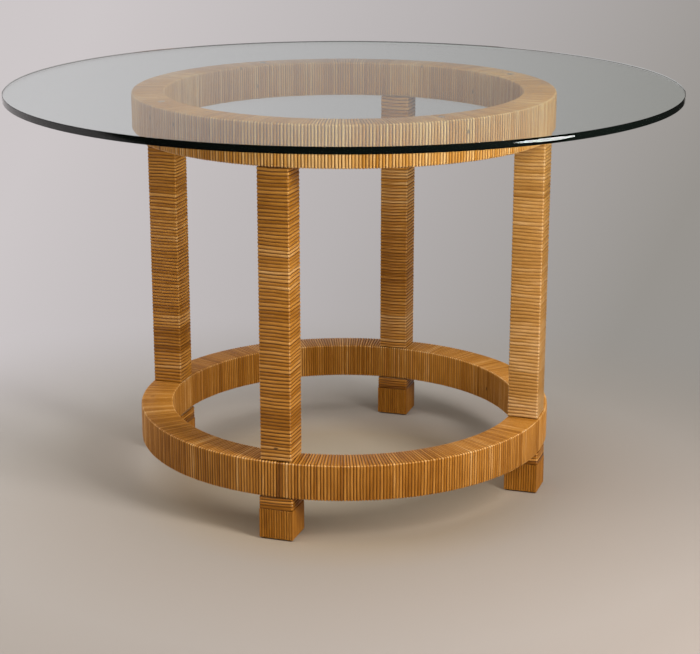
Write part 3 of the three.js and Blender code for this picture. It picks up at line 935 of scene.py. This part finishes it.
paper, tree = new_material("studio_paper_grey")
at = put(tree, "TexCoord")
turned = put(tree, "Mapping", {"Vector": at.outputs["Object"], "Rotation": (0, 0, -around)})
place = put(tree, "SeparateXYZ", {0: turned.outputs[0]})
back = put(tree, "Math", {0: place.outputs["Y"], 1: STAND_BACK - FAN_NEAREST}, operation="ADD")
back = put(tree, "Math", {0: back.outputs[0]}, operation="ABSOLUTE")
back = put(tree, "Math", {0: back.outputs[0], 1: FAN_NEAREST}, operation="ADD")
slant = put(tree, "Math", {0: place.outputs["X"], 1: FAN_LEFT}, operation="ADD")
fan = put(tree, "Math", {0: slant.outputs[0], 1: back.outputs[0]}, operation="DIVIDE")
fan = put(tree, "Math", {0: fan.outputs[0], 1: FAN_TURNED}, operation="SUBTRACT")
forward = put(tree, "Math", {0: place.outputs["Y"], 1: MIRRORED_AHEAD[0], 2: MIRRORED_AHEAD[1]},
              operation="MULTIPLY_ADD")

# Near its rim the paper takes the tone of the world behind it, so that no horizon shows.
reach = put(tree, "VectorMath", {0: turned.outputs[0]}, operation="LENGTH").outputs["Value"]
at_rim = put(tree, "Math", {0: place.outputs["X"], 1: reach}, operation="DIVIDE")
nearness = put(tree, "Math", {0: RIM_FROM, 1: reach}, operation="DIVIDE")
blend = put(tree, "MapRange", {0: nearness.outputs[0], 1: 1.0, 2: RIM_FULL},
            interpolation_type="SMOOTHSTEP")
fan = put(tree, "Mix", {0: blend.outputs[0], 2: fan.outputs[0], 3: at_rim.outputs[0]})
far = with_room(tree, far_tone(tree, fan.outputs[0]), fan.outputs[0], forward.outputs[0])

# %% Near paper
# Paper is matt, with hardly any sheen even at a low angle.
NEAR_SPAN = (-0.5, 0.85)                # metres along a line at 45 degrees to the view
PAINTED_SHADE_MIDDLE, PAINTED_SHADE_REACH = (0.0, -0.1, 0.0), 0.8
SHADOW_MIDDLE = (0.0, -0.5, 0.0)        # the table's shadow lies round this point
# Further out, the matt paper gives way to the far paper's glowing painted light.
SHADOW_FROM, SHADOW_TO = 0.78, 1.6      # metres in which matt paper turns into a written tone

corner = put(tree, "Mapping", {"Vector": turned.outputs[0], "Rotation": (0, 0, math.radians(45))})
corner = put(tree, "SeparateXYZ", {0: corner.outputs[0]})
near = put(tree, "MapRange", {0: corner.outputs["X"], 1: NEAR_SPAN[0], 2: NEAR_SPAN[1]})
near = put(tree, "Mix", {0: near.outputs[0], 6: linear(PAPER_NEAR[0]), 7: linear(PAPER_NEAR[1])},
           data_type="RGBA")
# Painted shade and warm bounced light, darkest and warmest close to the base.
painted_shade = put(tree, "VectorMath", {0: turned.outputs[0], 1: PAINTED_SHADE_MIDDLE}, operation="DISTANCE")
painted_shade = put(tree, "MapRange", {0: painted_shade.outputs["Value"], 2: PAINTED_SHADE_REACH})
warm = stops(put(tree, "ValToRGB", {0: painted_shade.outputs[0]}), *PAPER_PAINTED_SHADE).outputs["Color"]
near = put(tree, "Mix", {0: 1.0, 6: near.outputs[2], 7: warm}, data_type="RGBA",
           blend_type="MULTIPLY")
away = put(tree, "VectorMath", {0: turned.outputs[0], 1: SHADOW_MIDDLE}, operation="DISTANCE")
away = put(tree, "MapRange", {0: away.outputs["Value"], 1: SHADOW_FROM, 2: SHADOW_TO},
           interpolation_type="SMOOTHSTEP")
share = put(tree, "Math", {0: away.outputs[0], 1: looked_at(tree)}, operation="MULTIPLY")
matt = put(tree, "BsdfPrincipled", {"Base Color": near.outputs[2], "Roughness": 0.9, "IOR": 1.3})
# The far paper's painted light: a glow for rays that look at it, not a lamp.
even = put(tree, "Emission", {"Color": far, "Strength": 1.0})
both = put(tree, "MixShader", {0: share.outputs[0], 1: matt.outputs[0], 2: even.outputs[0]})
put(tree, "OutputMaterial", {0: both.outputs[0]})
print("studio_paper_grey", len(tree.nodes), "nodes")

# %% Lay the paper down
FLOOR_GAP = 0.3 * MM    # between the glides and the paper, too small to see

bm = bmesh.new()
bmesh.ops.create_circle(bm, cap_ends=True, segments=96, radius=PAPER_RADIUS)
mesh = bpy.data.meshes.new("floor")
bm.to_mesh(mesh)
bm.free()
floor = bpy.data.objects.new("floor", mesh)
mesh.transform(Matrix.Translation((0, 0, -FLOOR_GAP)))
bpy.context.scene.collection.objects.link(floor)
mesh.materials.append(paper)
print("paper:", 2 * PAPER_RADIUS, "m across")

# %% [markdown]
# ## Light
#
# A tall soft key lamp stands close by at the front right, so its light fades
# across the table as in the photograph. A wide soft lamp hangs overhead, and
# a weak one at the left keeps the far sides of the posts from going black.
# A low strip lamp at the right lights nothing matt. It is there only for the
# streak that it puts on the polished side of the glass. It is an ellipse, so
# the streak tapers off at its ends. No lamp is seen through the glass. The
# world gives a weak warm grey light, and shows the tones of the far paper.

# %% Lamps
LAMPS = {
    # name: place, aim, width, height, watts, whether it lights matt surfaces
    "key": ((1.35, -0.8, 1.2), (0, 0, 0.6), 0.45, 1.1, 31.5, True),
    "overhead": ((-1.2, -1.0, 2.8), (0, 0, 0), 3.0, 3.0, 43.0, True),
    "left": ((-1.6, -0.9, 1.6), (-0.2, -0.1, 0.4), 1.0, 1.0, 4.5, True),
    "strip": ((2.42, -0.55, 0.40), (0.49, -0.37, 0.73), 0.9, 0.18, 6.0, False),
}
for name, (spot, aim, width, height, watts, matt_too) in LAMPS.items():
    lamp = bpy.data.objects.new(name, bpy.data.lights.new(name, "AREA"))
    lamp.location = spot
    lamp.rotation_euler = (Vector(aim) - lamp.location).to_track_quat("-Z", "Y").to_euler()
    lamp.data.shape, lamp.data.energy = "RECTANGLE" if matt_too else "ELLIPSE", watts
    lamp.data.size, lamp.data.size_y = width, height
    lamp.visible_camera, lamp.visible_transmission = False, False
    lamp.visible_diffuse = matt_too
    bpy.context.scene.collection.objects.link(lamp)
print("lamps:", sum(lamp[4] for lamp in LAMPS.values()), "W in all")

# %% World
AMBIENT = "#979489"

world = bpy.data.worlds.new("studio")
world.use_nodes = True
tree = world.node_tree
tree.nodes.clear()
way = put(tree, "TexCoord")
turned = put(tree, "Mapping", {"Vector": way.outputs["Generated"], "Rotation": (0, 0, -around)})
place = put(tree, "SeparateXYZ", {0: turned.outputs[0]})
sideways, forward = place.outputs["X"], place.outputs["Y"]
tone = with_room(tree, far_tone(tree, sideways), sideways, forward)
shown = put(tree, "Background", {"Color": tone, "Strength": 1.0})
light = put(tree, "Background", {"Color": linear(AMBIENT), "Strength": 1.0})
both = put(tree, "MixShader", {0: looked_at(tree), 1: light.outputs[0], 2: shown.outputs[0]})
put(tree, "OutputWorld", {0: both.outputs[0]})
bpy.context.scene.world = world
bpy.context.scene.view_settings.view_transform = "Standard"
print("world:", len(tree.nodes), "nodes")
